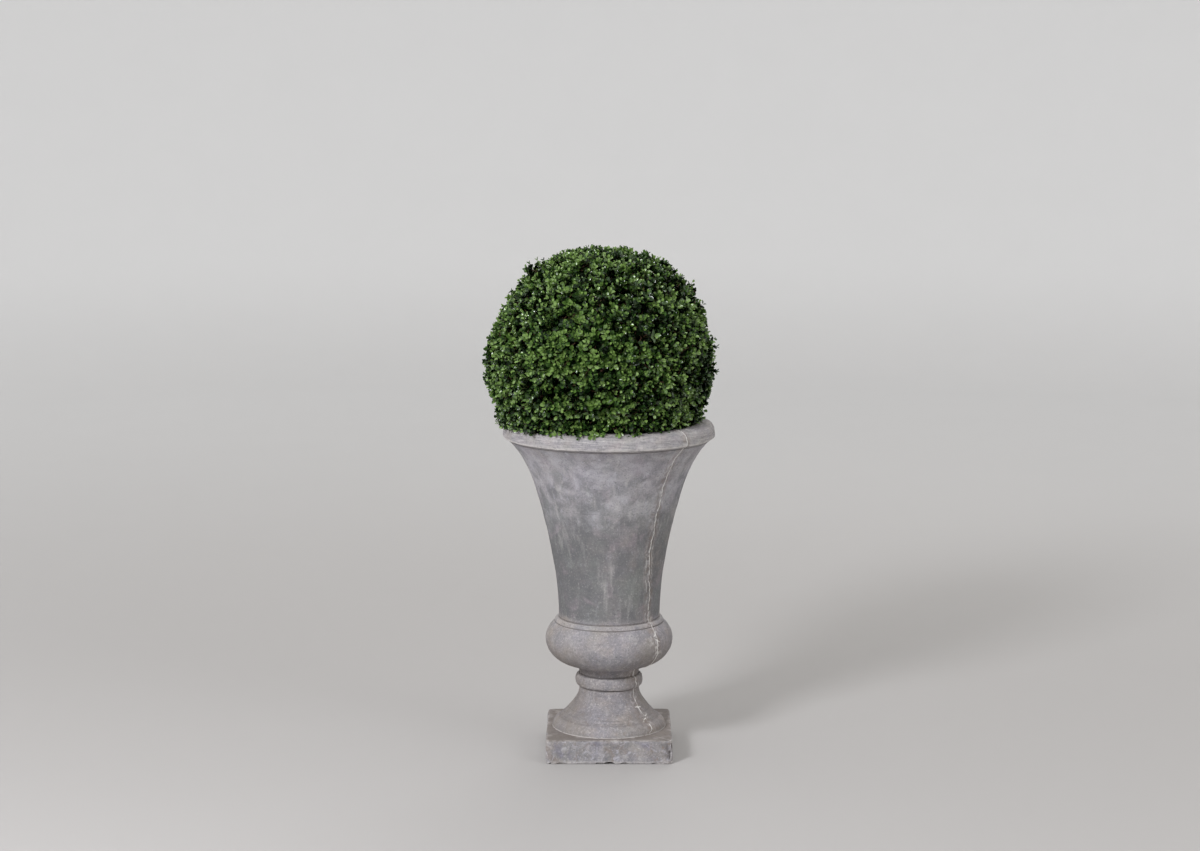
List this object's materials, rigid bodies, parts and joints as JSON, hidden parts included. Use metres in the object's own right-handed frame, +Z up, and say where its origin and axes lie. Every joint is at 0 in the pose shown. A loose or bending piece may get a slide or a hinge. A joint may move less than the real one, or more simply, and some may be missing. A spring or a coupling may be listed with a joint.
{
  "type": "potted box topiary ball",
  "caption": "Clipped box ball on a short hidden stem, growing in a tall flared stone urn with a bulb, neck ring, moulded foot and square plinth.",
  "frame": {"origin": "centre of the plinth's flat underside, on the urn's axis", "axes": "+Z up along the urn's axis, +X to the right and +Y away as seen from the side with the drain slot, which is the front"},
  "size_m": [0.5526, 0.5532, 1.2213],
  "materials": {
    "cast_stone": "weathered matt grey cast stone with lilac, brown and green mottling and pale lime bloom",
    "potting_soil": "damp dark crumbly potting compost",
    "box_bark": "finely cracked grey-brown bark, redder on the young twigs",
    "box_foliage": "small glossy box leaves, dark green to yellow-green"
  },
  "bodies": {
    "root": {"plinth": "cast_stone", "foot": "cast_stone", "neck_ring": "cast_stone", "neck": "cast_stone", "bulb": "cast_stone", "wall_lower": "cast_stone", "wall_upper": "cast_stone", "rim": "cast_stone", "soil": "potting_soil", "stem": "box_bark", "bough_1": "box_bark", "bough_2": "box_bark", "bough_3": "box_bark", "bough_4": "box_bark", "bough_5": "box_bark", "bough_6": "box_bark", "foliage_ball": "box_foliage"}
  },
  "joints": []
}
